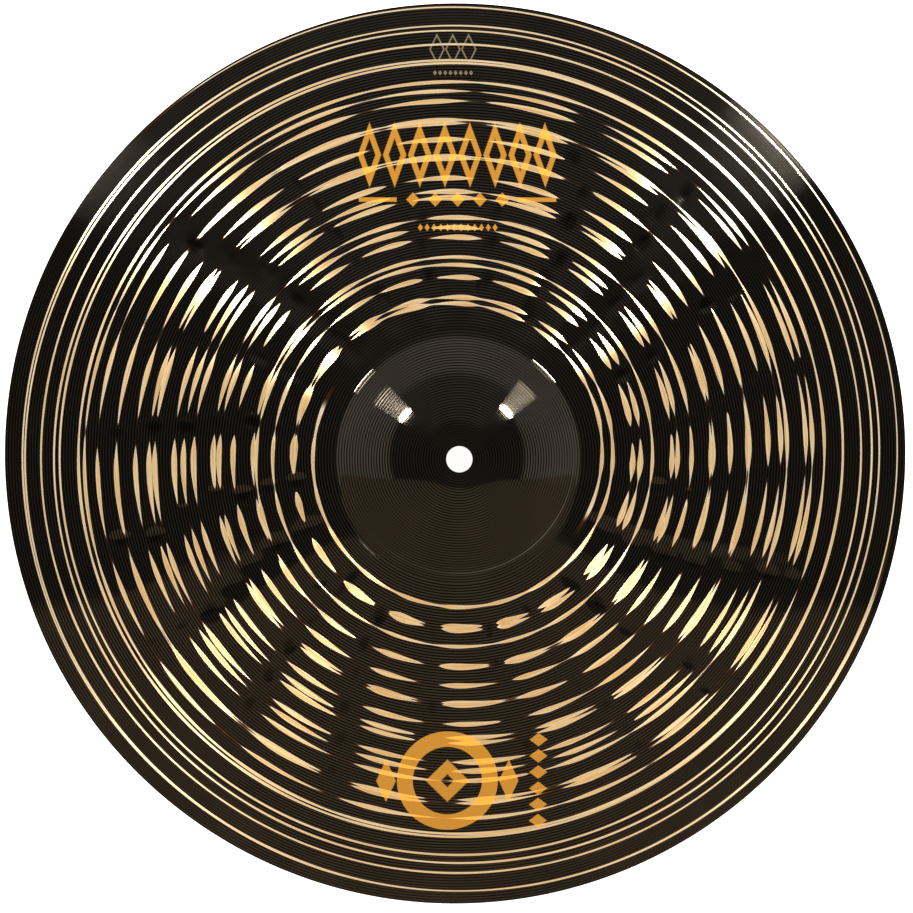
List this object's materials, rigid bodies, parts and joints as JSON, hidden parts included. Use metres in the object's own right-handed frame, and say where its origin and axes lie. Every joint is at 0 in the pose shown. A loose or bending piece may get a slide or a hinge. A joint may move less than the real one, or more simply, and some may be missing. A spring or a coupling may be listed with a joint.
{
  "type": "crash cymbal",
  "caption": "Round hammered crash cymbal: a domed bronze disc with a raised bell, a sloping bow, a thin rim and a central hole for a stand rod.",
  "frame": {"origin": "centre of the rim circle, in the plane that the rim rests on", "axes": "+Z along the hole's axis, up through the bell; the disc is round, so +X and +Y are free: +Y points to the upper printed mark"},
  "size_m": [0.4572, 0.4572, 0.0513],
  "materials": {
    "black_coated_bronze": "polished"
  },
  "bodies": {
    "root": {"cymbal": "black_coated_bronze"}
  },
  "joints": []
}
